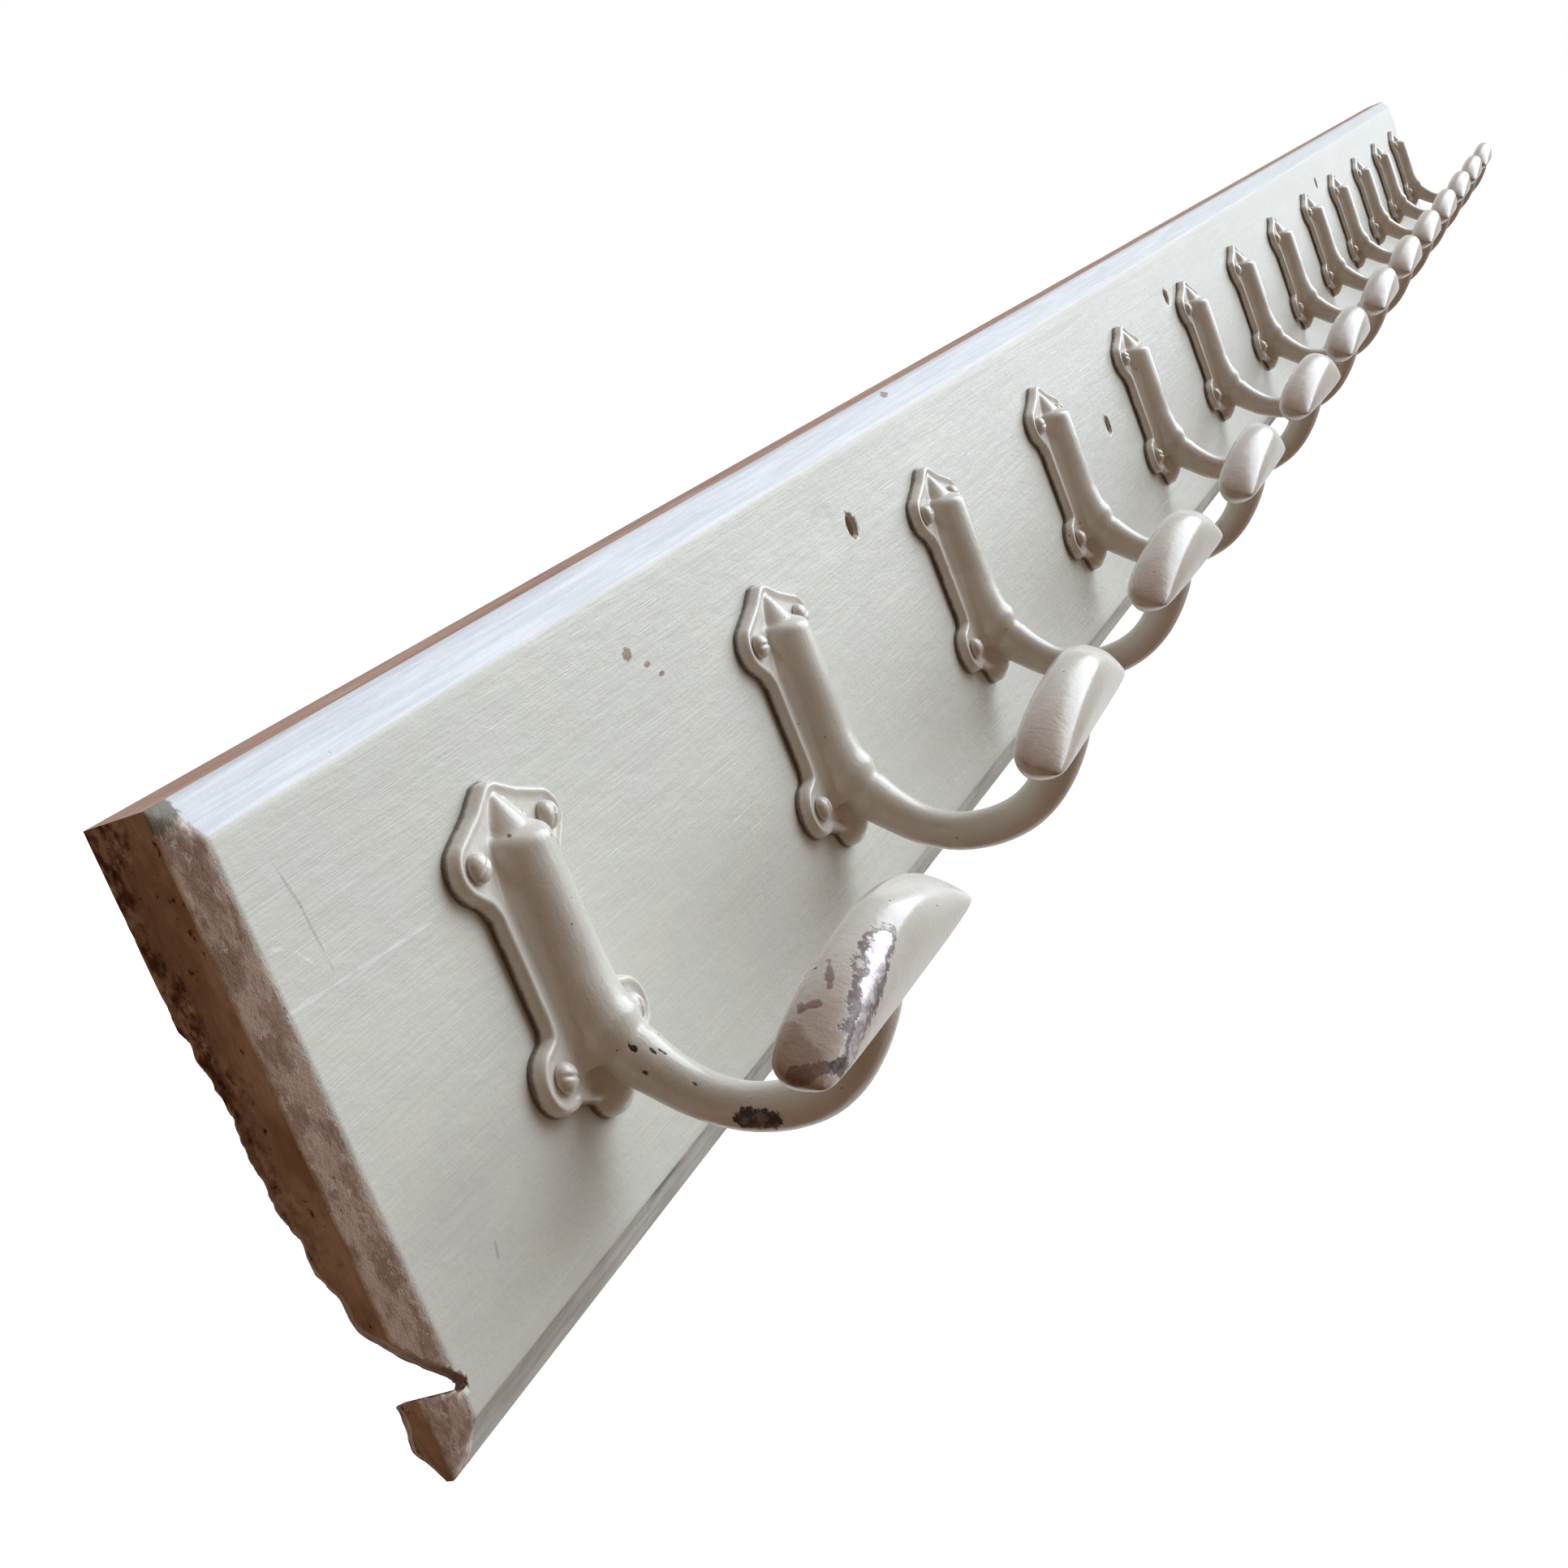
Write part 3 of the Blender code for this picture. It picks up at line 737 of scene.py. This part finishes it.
def long_chamfers(n, colour):
    """The long chamfers: the top one painted whiter and bluish as a sky sheen, streaky, duller far away; the
    bottom one painted darker as shade, with dark patches.
    """
    x, y, z = n.axes()
    streak = n.noise((14, 500, 600), 6, 0.7, (5, 0, 0))
    # Painted reflection: the top chamfer is coloured whiter and bluish as a sheen of the sky, dulled towards
    # the far end
    top = n.remap(z, ARRIS_Z - 0.3 * MM, ARRIS_Z + 0.5 * MM)
    white = n.mix(n.remap(streak, 0.35, 0.7), (0.58, 0.62, 0.66), (0.76, 0.79, 0.83))
    white = n.mix(n.remap(x, -0.6, 0.9, 0, 0.75), white, (0.50, 0.56, 0.555))
    colour = n.mix(top, colour, white)
    # Painted shade: the downward-facing bottom chamfer is coloured darker as shade, mottled, with near-black
    # patches
    low = n.remap(z, -ARRIS_Z + 0.5 * MM, -ARRIS_Z - 0.3 * MM)
    shade_mottle = n.remap(n.noise((22, 160, 160), 5, 0.7, (2, 0, 0)), 0.35, 0.65)
    colour = n.mix(low, colour, n.mix(shade_mottle, (0.30, 0.27, 0.23), (0.50, 0.48, 0.43)))
    patches = n.math("MULTIPLY", low, n.remap(n.noise((7, 30, 30), 4, 0.6, (8, 0, 0)), 0.55, 0.62))
    return n.mix(n.math("MULTIPLY", patches, 0.85), colour, (0.07, 0.06, 0.055))


def face_marks(n, colour):
    """Small chips and dings over the face, and scratches near the first hook; also gives the chips' mask."""
    chips = n.remap(n.noise((260, 900, 700), 2, 0.5, (1, 0, 0)), 0.80, 0.815)
    colour = n.mix(n.math("MULTIPLY", chips, 0.9), colour, (0.20, 0.14, 0.10))
    for x, z, half_width, half_height in CHIPS:
        centre = (FIRST_HOOK + x * MM, FACE_Y, z * MM)
        mark = n.spot(centre, (half_width * MM, 12 * MM, half_height * MM), n.noise((900, 900, 900), 3))
        colour = n.mix(mark, colour, (0.25, 0.15, 0.10))
    waver = n.noise((120, 120, 120), 2)
    for pale, points in SCRATCHES:
        tone = (0.82, 0.82, 0.79) if pale else (0.38, 0.35, 0.32)
        places = [(FIRST_HOOK + x * MM, FACE_Y, z * MM) for x, z in points]
        for start, end in zip(places, places[1:]):
            scratch = n.streak(start, end, 0.34 * MM, waver, 2.2, 0.6)
            colour = n.mix(n.math("MULTIPLY", scratch, 0.6), colour, tone)
    return colour, chips


def dust_nibs(n):
    """Dust nibs and dings in the paint: a mask of sparse dots of many sizes, and which of them are sunk."""
    cells = n.add("ShaderNodeTexVoronoi")
    cells.inputs["Scale"].default_value = 1.0
    n.link(n.scaled((75, 75, 75), (3, 0, 0)), cells.inputs["Vector"])
    pick = n.add("ShaderNodeSeparateColor")
    n.link(cells.outputs["Color"], pick.inputs["Color"])
    chosen = n.math("GREATER_THAN", pick.outputs["Red"], 0.45)
    size = n.math("ADD", 0.02, n.math("MULTIPLY", pick.outputs["Green"], 0.045))
    dot = n.math("SUBTRACT", 1.0, n.math("DIVIDE", cells.outputs["Distance"], size))
    nibs = n.math("MULTIPLY", chosen, n.math("MAXIMUM", dot, 0.0))
    return nibs, n.math("GREATER_THAN", pick.outputs["Blue"], 0.6)


def scraped_end(n, colour):
    """The near end's chamfer, scraped to undercoat and wood with flecks of paint; also gives its masks."""
    x, y, z = n.axes()
    scrape_noise = n.noise((500, 500, 260), 6, 0.75, (4, 0, 0))
    edge = n.sway(x, scrape_noise, 4.5 * MM)
    near = n.remap(edge, LEFT_END + CHAMFER_WIDTH_END + 0.4 * MM, LEFT_END + CHAMFER_WIDTH_END - 0.8 * MM)
    worn_noise = n.noise((240, 240, 90), 6, 0.7)
    worn = n.mix(n.remap(worn_noise, 0.40, 0.60), (0.50, 0.39, 0.335), (0.84, 0.75, 0.67))
    flecks = n.remap(n.noise((420, 420, 300), 4, 0.7, (9, 0, 0)), 0.57, 0.62)
    worn = n.mix(flecks, worn, (0.84, 0.82, 0.78))
    worn = n.mix(n.remap(scrape_noise, 0.40, 0.30), worn, (0.16, 0.10, 0.085))
    colour = n.mix(near, colour, worn)

    # A dark green stain on the top corner
    corner = (LEFT_END + 2 * MM, FACE_Y + 6 * MM, HALF_HEIGHT - 1 * MM)
    stain = n.spot(corner, (6 * MM, 6 * MM, 5 * MM), scrape_noise)
    colour = n.mix(n.math("MULTIPLY", stain, 0.75), colour, (0.10, 0.11, 0.08))
    return colour, near, scrape_noise


def board_paint():
    """Old gloss paint, brushed along the plank, chipped and scraped at the near end."""
    n = Paint("board_gloss_paint")
    broad = n.noise((3, 20, 22), 3)
    strokes = n.noise((9, 400, 420), 5, 0.65)
    fine = n.noise((60, 2200, 2400), 3, 0.6)
    mottle = n.noise((28, 45, 45), 5, 0.65, (0, 9, 0))
    lumps = n.noise((90, 170, 170), 4, 0.6, (0, 4, 0))
    colour = n.mix(n.remap(broad, 0.3, 0.7), (0.615, 0.607, 0.535), (0.67, 0.66, 0.59))
    colour = n.mix(n.remap(mottle, 0.35, 0.62, 0, 0.5), colour, (0.60, 0.615, 0.57))
    colour = n.mix(n.remap(mottle, 0.52, 0.75, 0, 0.6), colour, (0.66, 0.61, 0.575))
    colour = n.mix(n.remap(strokes, 0.52, 0.75, 0, 0.25), colour, (0.76, 0.77, 0.75))
    colour = n.mix(n.remap(strokes, 0.42, 0.25, 0, 0.16), colour, (0.47, 0.46, 0.42))
    colour = long_chamfers(n, colour)
    colour, chips = face_marks(n, colour)
    nibs, sunk = dust_nibs(n)
    colour = n.mix(n.math("MULTIPLY", n.math("MULTIPLY", nibs, sunk), 0.7), colour, (0.22, 0.18, 0.15))
    colour, near, scrape_noise = scraped_end(n, colour)

    rough = n.math("ADD", n.remap(strokes, 0.3, 0.8, 0.30, 0.46), n.math("MULTIPLY", near, 0.35))
    bump = n.math("ADD", n.math("MULTIPLY", strokes, 0.6), n.math("MULTIPLY", fine, 0.35))
    bump = n.math("ADD", bump, n.math("MULTIPLY", n.math("MULTIPLY", near, scrape_noise), 2.5))
    bump = n.math("SUBTRACT", bump, n.math("MULTIPLY", chips, 0.8))
    bump = n.math("ADD", bump, n.math("MULTIPLY", nibs, 1.6))
    bump = n.math("ADD", bump, n.math("MULTIPLY", lumps, 1.3))
    return n.finish(colour, rough, bump, 0.42, 0.0006, Specular_IOR_Level=0.36)


def bare_wood():
    """Bare pinkish softwood on the top edge and back, with its growth lines."""
    n = Paint("bare_softwood")
    grain = n.noise((5, 700, 700), 6, 0.7)
    blotch = n.noise((25, 90, 90), 4)
    colour = n.mix(n.remap(grain, 0.3, 0.7), (0.35, 0.18, 0.12), (0.61, 0.39, 0.29))
    colour = n.mix(n.remap(blotch, 0.55, 0.75, 0, 0.55), colour, (0.60, 0.52, 0.47))
    colour = n.mix(n.remap(blotch, 0.42, 0.25, 0, 0.6), colour, (0.14, 0.08, 0.06))
    return n.finish(colour, n.remap(grain, 0.2, 0.8, 0.65, 0.9), grain, 0.6, 0.0006)


def end_wood():
    """The sawn end: dusty brown, with reddish-dark stains toward the back and top."""
    n = Paint("stained_end_grain")
    x, y, z = n.axes()
    large = n.noise((70, 90, 45), 5, 0.65)
    small = n.noise((300, 330, 220), 5, 0.7)
    rings = n.noise((40, 700, 60), 3, 0.6)
    colour = n.mix(n.remap(large, 0.35, 0.62), (0.42, 0.29, 0.20), (0.70, 0.56, 0.44))
    colour = n.mix(n.remap(rings, 0.45, 0.7, 0, 0.3), colour, (0.36, 0.25, 0.20))
    depth = n.sway(n.math("SUBTRACT", y, FACE_Y), large, 30 * MM)
    stained = n.math("MULTIPLY", n.remap(depth, 11 * MM, 20 * MM), n.remap(z, -30 * MM, 30 * MM, 0.45, 1.0))
    colour = n.mix(n.math("MULTIPLY", stained, n.remap(small, 0.35, 0.6)), colour, (0.13, 0.045, 0.03))
    colour = n.mix(n.remap(small, 0.60, 0.66, 0, 0.9), colour, (0.035, 0.018, 0.015))
    bump = n.math("ADD", small, n.math("MULTIPLY", rings, 0.7))
    return n.finish(colour, n.remap(small, 0.3, 0.7, 0.6, 0.9), bump, 0.9, 0.0012)


def casting_paint(name, extra=None):
    """Pearly cream gloss over cast iron, with the tips' near ends browned as painted shade and reflection,
    and grime with painted contact shade where it meets the board.
    """
    n = Paint(name)
    x, y, z = n.axes()
    cloud = n.noise((30, 30, 30), 4)
    brush = n.noise((900, 260, 260), 4, 0.6)
    peel = n.noise((700, 700, 700), 2)
    patchy = n.noise((110, 110, 110), 5, 0.65, (6, 0, 0))
    colour = n.mix(n.remap(cloud, 0.35, 0.68), (0.67, 0.645, 0.58), (0.745, 0.72, 0.655))
    colour = n.mix(n.remap(brush, 0.5, 0.8, 0, 0.25), colour, (0.78, 0.77, 0.75))

    # Each piece's own box runs 0 to 1: x along the board, y from the tip to the wall
    box = n.add("ShaderNodeSeparateXYZ")
    n.link(n.place.node.outputs["Generated"], box.inputs["Vector"])
    # Painted shade and reflection: the near, outer end of each piece is browned as the shade and brown room
    # it faces
    near_side = n.remap(box.outputs["X"], 0.42, 0.02)
    tip_end_shade = n.math("MULTIPLY", near_side, n.remap(box.outputs["Y"], 0.30, 0.16))
    tip_end_shade = n.math("MULTIPLY", tip_end_shade, n.remap(patchy, 0.25, 0.7, 0.75, 0.35))
    colour = n.mix(tip_end_shade, colour, (0.40, 0.27, 0.20))

    # Grime and painted contact shade in the line where the casting meets the board
    out = n.math("SUBTRACT", FACE_Y, y)
    seam_grime_and_shade = n.remap(n.sway(out, patchy, 2.4 * MM), 2.3 * MM, 0.9 * MM)
    colour = n.mix(n.math("MULTIPLY", seam_grime_and_shade, 0.85), colour, (0.10, 0.065, 0.045))

    speck = n.noise((420, 420, 420), 3, 0.6, (3, 0, 0))
    chips = n.remap(speck, 0.715, 0.73)
    colour = n.mix(chips, colour, (0.07, 0.045, 0.035))
    if extra:
        colour, chips, metal = extra(n, colour, chips)
        n.link(metal, n.shader.inputs["Metallic"])
    rough = n.math("ADD", n.remap(cloud, 0.3, 0.7, 0.22, 0.34), n.math("MULTIPLY", chips, 0.25))
    bump = n.math("ADD", n.math("MULTIPLY", brush, 0.5), n.math("MULTIPLY", peel, 0.35))
    bump = n.math("ADD", bump, n.math("MULTIPLY", patchy, 1.2))
    bump = n.math("SUBTRACT", bump, n.math("MULTIPLY", chips, 1.4))
    return n.finish(colour, rough, bump, 0.35, 0.0005, Coat_Weight=0.3, Coat_Roughness=0.15)


def on_first_hook(x, out, z):
    """A place on the first hook, in millimetres beside its plate's middle, out of the board and up."""
    return Vector((HOOK_X[0], FACE_Y, 0)) + Vector((x, -out, z)) * MM


def bare_crown(n, colour, chips, ragged, coarse):
    """Metal rubbed bare along the tip's crown, in a ring of brown undercoat; also gives the metal's mask."""
    crown = [(-14, 98.6, -12), (-20, 98.8, -15), (-28, 97.6, -18.5), (-36, 96, -22.5), (-41, 94.3, -27)]
    crown = [on_first_hook(*place) for place in crown]
    for start, end, width in zip(crown, crown[1:], (2.6, 3.4, 3.2, 2.4)):
        undercoat = n.streak(start, end, width * 1.35 * MM, coarse, 1.5, 0.12)
        colour = n.mix(n.math("MULTIPLY", undercoat, 0.85), colour, (0.17, 0.12, 0.125))
        chips = n.math("MAXIMUM", chips, n.math("MULTIPLY", undercoat, 0.6))
    upper = n.streak(crown[0], crown[2], 2.4 * MM, coarse, 1.3)
    bare = n.math("MAXIMUM", upper, n.streak(crown[2], crown[4], 1.9 * MM, coarse, 1.3))
    colour = n.mix(bare, colour, n.mix(n.remap(ragged, 0.42, 0.6), (0.42, 0.36, 0.40), (0.72, 0.68, 0.70)))
    return colour, chips, bare


def dark_chips(n, colour, chips, ragged, dark):
    """Chips down to dark iron: on the tip's end, under the arm and round the knuckle."""
    patches = (((-53.5, 86, -24.5), (-46, 93.5, -27.5), 2.3, 0.5),
               ((-6.8, 40.5, -52.6), (-6.8, 47.5, -54.6), 3.0, 0.8))
    marks = []
    for start, end, width, rough in patches:
        marks.append(n.streak(on_first_hook(*start), on_first_hook(*end), width * MM, ragged, rough, 0.1))
    knuckle = (((-8.3, 18.6, -33.2), 1.0), ((-8.0, 21.0, -35.4), 0.95), ((-6.2, 17.1, -26.5), 0.75),
               ((-3.8, 20.7, -29.8), 0.4), ((-2.2, 22.4, -31.4), 0.4), ((-4.5, 29.0, -40.5), 0.4))
    for (x, out, z), width in knuckle:
        start, end = on_first_hook(x, out, z), on_first_hook(x + 0.3, out + 0.7, z - 2.0)
        marks.append(n.streak(start, end, width * MM, ragged, 0.9))
    for mark in marks:
        colour = n.mix(mark, colour, dark)
        chips = n.math("MAXIMUM", chips, mark)
    return colour, chips


def end_shade_and_loops(n, colour, ragged, coarse):
    """Painted brown shade and reflection on the tip's near end, with loop-shaped marks beside it."""
    # Painted shade: the tip's near end is browned as shade and a reflection of the brown room
    end_shade_streak = n.streak(on_first_hook(-48, 83, -17.5), on_first_hook(-53, 88, -25), 5.5 * MM, coarse, 0.5, 0.15)
    colour = n.mix(n.math("MULTIPLY", end_shade_streak, 0.6), colour, (0.30, 0.19, 0.13))
    for start, end in (((-36, 84, -11.5), (-40, 86, -14.5)), ((-40, 86, -14.5), (-37.5, 89.5, -15)),
                       ((-26, 90, -9.5), (-33, 91.5, -13))):
        loop = n.streak(on_first_hook(*start), on_first_hook(*end), 0.9 * MM, ragged, 1.4)
        colour = n.mix(n.math("MULTIPLY", loop, 0.8), colour, (0.22, 0.13, 0.10))
    return colour


def first_hook_wear(n, colour, chips):
    """The first hook's wear, from the tip's bare crown to a pit beside the nose, with painted shade on the
    tip's near end.
    """
    ragged = n.noise((380, 380, 380), 5, 0.7)
    coarse = n.noise((170, 170, 170), 6, 0.75)
    dark = n.mix(n.remap(ragged, 0.45, 0.62), (0.035, 0.022, 0.022), (0.24, 0.16, 0.12))
    colour, chips, bare = bare_crown(n, colour, chips, ragged, coarse)
    colour, chips = dark_chips(n, colour, chips, ragged, dark)
    colour = end_shade_and_loops(n, colour, ragged, coarse)
    pit = n.streak(on_first_hook(-6.0, 8.4, 33.8), on_first_hook(-6.6, 8.4, 32.6), 0.8 * MM, ragged, 0.5)
    return n.mix(pit, colour, dark), chips, n.math("MULTIPLY", bare, 0.75)


# ---------------------------------------------------------------- the stage
ROOM_BROWN = (0.185, 0.112, 0.073)
ROOM_GREY = (0.50, 0.475, 0.445)
CEILING = (0.95, 0.99, 1.04)
WINDOW = (4.9, 5.35, 5.8)
BACKDROP = (1.0, 1.0, 1.0)
BACKDROP_LIGHT = 3.0


def make_world():
    """Soft room light: a broad window in front on the right, a dim brown room, a white backdrop."""
    world = bpy.data.worlds.new("studio")
    world.use_nodes = True
    n = Nodes(world.node_tree, "Generated")
    x, y, z = n.axes()
    overhead = n.math("MULTIPLY", n.remap(z, 0.5, 0.75), n.remap(x, 0.1, 0.4))
    window = n.math("MULTIPLY", n.remap(x, 0.30, 0.42), n.remap(y, -0.20, -0.34))
    window_height = n.math("MULTIPLY", n.remap(z, -0.16, -0.04), n.remap(z, 0.80, 0.62))
    behind = n.math("MULTIPLY", n.remap(y, -0.06, 0.02), n.remap(z, 0.55, 0.42))
    colour = n.mix(n.remap(x, -0.05, 0.45), ROOM_BROWN, ROOM_GREY)
    colour = n.mix(overhead, colour, CEILING)
    colour = n.mix(n.math("MULTIPLY", window, window_height), colour, WINDOW)
    colour = n.mix(n.math("MULTIPLY", behind, n.remap(x, 0.05, 0.2)), colour, BACKDROP)

    # The camera itself sees plain white on every side
    rays = n.add("ShaderNodeLightPath")
    colour = n.mix(rays.outputs["Is Camera Ray"], colour, BACKDROP)
    n.link(colour, n.tree.nodes["Background"].inputs["Color"])
    bpy.context.scene.world = world


def make_floor():
    """A plain pale floor that throws no light back onto the rack."""
    n = Paint("pale_floor")
    tone = n.noise((2, 2, 2), 2)
    paint = n.finish(n.mix(tone, (0.80, 0.80, 0.80), (0.82, 0.82, 0.82)), n.remap(tone, 0, 1, 0.85, 0.95))
    reach, floor_z = 30.0, -0.9
    corners = [(x * reach, y * reach, floor_z) for x, y in ((-1, -1), (1, -1), (1, 1), (-1, 1))]
    floor = add_object("floor", mesh_from("floor", corners, [(0, 1, 2, 3)]), paint)
    floor.visible_diffuse = False
    floor.visible_glossy = False
    return floor


def make_backdrop_lamp(floor):
    """A soft lamp that lights the floor alone."""
    lit = bpy.data.collections.new("backdrop_only")
    lit.objects.link(floor)
    data = bpy.data.lights.new("backdrop_light", "SUN")
    data.angle = math.radians(60)
    data.energy = BACKDROP_LIGHT
    lamp = bpy.data.objects.new("backdrop_light", data)
    lamp.light_linking.receiver_collection = lit
    bpy.context.scene.collection.objects.link(lamp)


def make_camera():
    """The camera, where the photograph was taken from."""
    data = bpy.data.cameras.new("photo_view")
    data.lens = CAMERA_LENS
    data.sensor_width = CAMERA_SENSOR
    data.shift_x, data.shift_y = CAMERA_SHIFT
    data.clip_start = 0.02
    camera = bpy.data.objects.new("photo_view", data)
    turn = (Matrix.Rotation(math.radians(CAMERA_YAW - 90), 4, "Z")
            @ Matrix.Rotation(math.radians(90 + CAMERA_PITCH), 4, "X")
            @ Matrix.Rotation(math.radians(CAMERA_ROLL), 4, "Z"))
    camera.matrix_world = Matrix.Translation(CAMERA_PLACE) @ turn
    bpy.context.scene.collection.objects.link(camera)
    bpy.context.scene.camera = camera


def make_stage():
    """The floor, the light and the camera."""
    floor = make_floor()
    make_world()
    make_backdrop_lamp(floor)
    make_camera()
    bpy.context.scene.view_settings.view_transform = "Standard"


# ---------------------------------------------------------------- the rack
def place_copy(name, mesh, move, paint):
    """A copy of a mesh moved into world coordinates, riding on the rack."""
    copy = mesh.copy()
    copy.materials.clear()
    copy.transform(move)
    piece = add_object(name, copy, paint)
    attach(piece, "root")
    return piece


def build():
    """Every piece, in the frame's places."""
    make_stage()
    board = make_board(board_paint(), bare_wood(), end_wood())
    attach(board, "root")
    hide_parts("board")

    plain = casting_paint("iron_gloss_paint")
    worn = casting_paint("iron_gloss_paint_worn", first_hook_wear)
    screw_finish = casting_paint("screw_gloss_paint")
    casting = casting_mesh()
    screw = head_mesh()
    smooth(screw)
    turns = random.Random(7)
    for i, (name, x) in enumerate(zip(HOOK_NAMES, HOOK_X)):
        move = Matrix.Translation((x, FACE_Y, 0))
        shaped = bent(casting, ARM_BENDS[i]) if i in ARM_BENDS else casting
        hook = place_copy(name + "_visual", shaped, move, worn if i == 0 else plain)
        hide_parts(name)
        for place, (dx, z) in SCREW_OFFSETS.items():
            spin = Matrix.Rotation(turns.uniform(0, math.pi), 4, "Y")
            seat = Matrix.Translation((x + dx, FACE_Y - HEAD_SEAT_OUT, z)) @ spin
            node = name.replace("hook", "screw") + "_" + place
            head = place_copy(node + "_visual", screw, seat, screw_finish)
            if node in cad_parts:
                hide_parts(node)


build()
